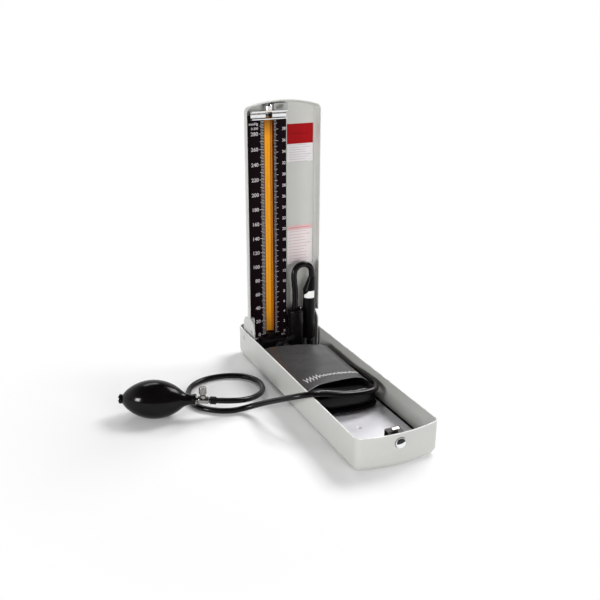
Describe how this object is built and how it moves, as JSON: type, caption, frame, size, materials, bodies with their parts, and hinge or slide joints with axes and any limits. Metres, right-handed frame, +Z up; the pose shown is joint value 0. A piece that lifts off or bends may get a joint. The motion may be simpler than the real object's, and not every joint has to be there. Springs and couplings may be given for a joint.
{
  "type": "mercury sphygmomanometer",
  "caption": "Desk mercury sphygmomanometer: long bowed metal case with upright lid carrying the scale and glass tube, folded cuff in the tray, hand bulb on a free hose.",
  "frame": {"origin": "under the middle of the case, on the surface that it stands on", "axes": "+X to the right of someone who faces the scale, +Y to the back, +Z up; the case's bowed front end is towards -Y"},
  "size_m": [0.2999, 0.3543, 0.352],
  "materials": {
    "case_paint": "satin",
    "panel_paint": "satin",
    "black_paint": "semi gloss",
    "bright_plate": "brushed",
    "steel": "zinc plated",
    "chrome": "polished",
    "spring_steel": "bare",
    "strip_orange": "gloss",
    "glass": "clear",
    "mercury": "liquid metal",
    "black_plastic": "moulded",
    "rubber": "smooth",
    "cuff_fabric": "woven nylon",
    "label_red": "printed",
    "label_white": "printed"
  },
  "bodies": {
    "case": {"tray": "case_paint", "floor_plate": "bright_plate", "hinge_bracket": "case_paint", "hinge_bracket_spacers": "steel", "hinge_bracket_rivets": "steel", "hinge_pins": "steel", "latch_guide": "steel", "latch_spring": "spring_steel", "manometer_hose_tail": "rubber", "cuff_upper_fold": "cuff_fabric", "cuff_lower_fold": "cuff_fabric", "bladder": "rubber", "manometer_outlet": "rubber", "bulb_hose_outlet": "rubber", "bulb": "rubber", "intake_valve": "chrome", "release_valve_body": "chrome", "hose_ferrule": "black_plastic", "bulb_hose": "rubber"},
    "lid": {"lid": "case_paint", "lid_inner_panel": "panel_paint", "upper_label": "label_red", "lower_label": "label_white", "lid_catch": "steel", "scale_plate": "black_paint", "tube_backing_strip": "strip_orange", "top_rail": "chrome", "glass_tube": "glass", "tube_cap": "chrome", "mercury": "mercury", "reservoir": "black_paint", "reservoir_nipple": "chrome", "reservoir_filler_screw": "chrome", "reservoir_saddle": "black_paint", "stopcock_body": "black_plastic", "transfer_pipe": "black_paint", "manometer_hose": "rubber", "hose_connector_sleeve": "black_plastic", "paper_tag": "label_white"},
    "stopcock_lever": {"stopcock_lever": "chrome"},
    "latch": {"latch_button": "chrome", "latch_hook": "steel"},
    "valve_needle": {"release_valve_needle": "chrome"},
    "valve_knob": {"release_valve_knob": "chrome"},
    "intake_disc": {"intake_valve_disc": "rubber"}
  },
  "joints": [
    {"name": "lid_hinge", "type": "hinge", "parent": "case", "child": "lid", "pos_m": [0, 0.131, 0.045], "axis": [1, 0, 0], "range_deg": [0, 86], "deforming": ["manometer_hose_tail"]},
    {"name": "latch_press", "type": "slide", "parent": "case", "child": "latch", "axis": [0, 1, 0], "range_m": [0, 0.0022], "stiffness_N_per_m": 900, "springref_m": -0.003, "deforming": ["latch_spring"]},
    {"name": "stopcock_turn", "type": "hinge", "parent": "lid", "child": "stopcock_lever", "pos_m": [-0.017, 0.118, 0.031], "axis": [0, -1, 0], "range_deg": [0, 68]},
    {"name": "valve_needle_travel", "type": "slide", "parent": "case", "child": "valve_needle", "axis": [0, 0, 1], "range_m": [0, 0.001]},
    {"name": "valve_knob_turn", "type": "hinge", "parent": "valve_needle", "child": "valve_knob", "pos_m": [-0.15565, 0.01632, 0.02227], "axis": [0, 0, 1], "range_deg": [0, 722]},
    {"name": "intake_disc_lift", "type": "slide", "parent": "case", "child": "intake_disc", "axis": [0.9026, -0.4306, 0], "range_m": [0, 0.0015]}
  ],
  "couplings": [
    {"joint": "valve_knob_turn", "follows": "valve_needle_travel", "rad_per_m": 12566}
  ]
}
